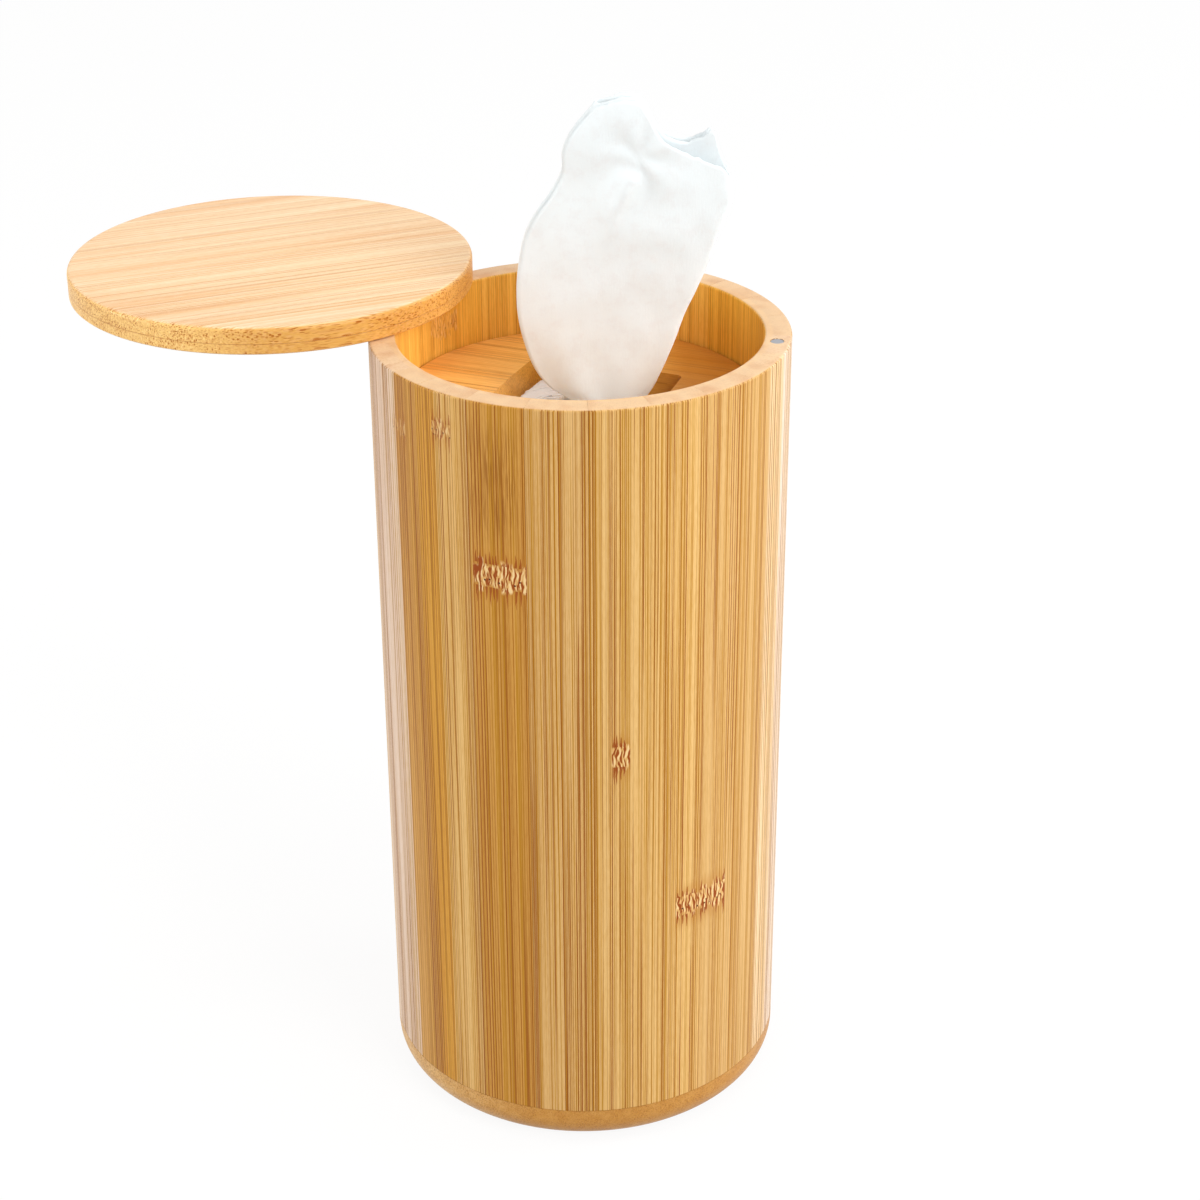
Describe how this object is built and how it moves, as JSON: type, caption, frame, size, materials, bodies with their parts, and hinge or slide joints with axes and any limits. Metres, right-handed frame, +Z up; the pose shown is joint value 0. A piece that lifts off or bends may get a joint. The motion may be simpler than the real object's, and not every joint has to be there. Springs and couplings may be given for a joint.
{
  "type": "wipes dispenser",
  "caption": "Tall round bamboo canister whose flat lid swings open on an upright pin, with a lift-out inner plate that feeds a wipe up through its square opening.",
  "frame": {"origin": "centre of the base disc's flat underside, on the surface that the canister stands on", "axes": "+Z up along the canister's axis, -Y towards the pictured front, +X to the right, with the lid's pivot at -X"},
  "size_m": [0.2196, 0.1663, 0.3215],
  "materials": {
    "bamboo_stave": "satin lacquered bamboo, side-pressed strips of unlike tint, grain upright",
    "bamboo_base": "satin lacquered bamboo, turned, grain front to back",
    "bamboo_lid": "pale satin bamboo, grain across the disc",
    "bamboo_plate": "honey-coloured satin bamboo",
    "magnet_plating": "dull nickel plating",
    "pin_steel": "ground steel",
    "wipe_roll": "wound nonwoven wipes, seen from the end",
    "wipe_cloth": "thin white nonwoven, soft and a little see-through"
  },
  "bodies": {
    "canister": {"stave_01": "bamboo_stave", "stave_02": "bamboo_stave", "stave_03": "bamboo_stave", "stave_04": "bamboo_stave", "stave_05": "bamboo_stave", "stave_06": "bamboo_stave", "stave_07": "bamboo_stave", "stave_08": "bamboo_stave", "stave_09": "bamboo_stave", "stave_10": "bamboo_stave", "stave_11": "bamboo_stave", "stave_12": "bamboo_stave", "stave_13": "bamboo_stave", "stave_14": "bamboo_stave", "stave_15": "bamboo_stave", "stave_16": "bamboo_stave", "stave_17": "bamboo_stave", "stave_18": "bamboo_stave", "stave_19": "bamboo_stave", "stave_20": "bamboo_stave", "stave_21": "bamboo_stave", "stave_22": "bamboo_stave", "base_disc": "bamboo_base", "rim_magnet": "magnet_plating", "pivot_pin": "pin_steel", "wipes_roll": "wipe_roll", "pulled_wipe": "wipe_cloth"},
    "lid": {"lid_top_ply": "bamboo_lid", "lid_bottom_ply": "bamboo_lid", "lid_magnet": "magnet_plating"},
    "plate": {"inner_plate": "bamboo_plate"}
  },
  "joints": [
    {"name": "lid_swivel", "type": "hinge", "parent": "canister", "child": "lid", "pos_m": [-0.05834, -0.00357, 0.25185], "axis": [0, 0, 1], "range_deg": [-125.5, 54.5], "deforming": ["pulled_wipe"]},
    {"name": "plate_lift", "type": "slide", "parent": "canister", "child": "plate", "axis": [0, 0, 1], "range_m": [0, 0.019]}
  ]
}
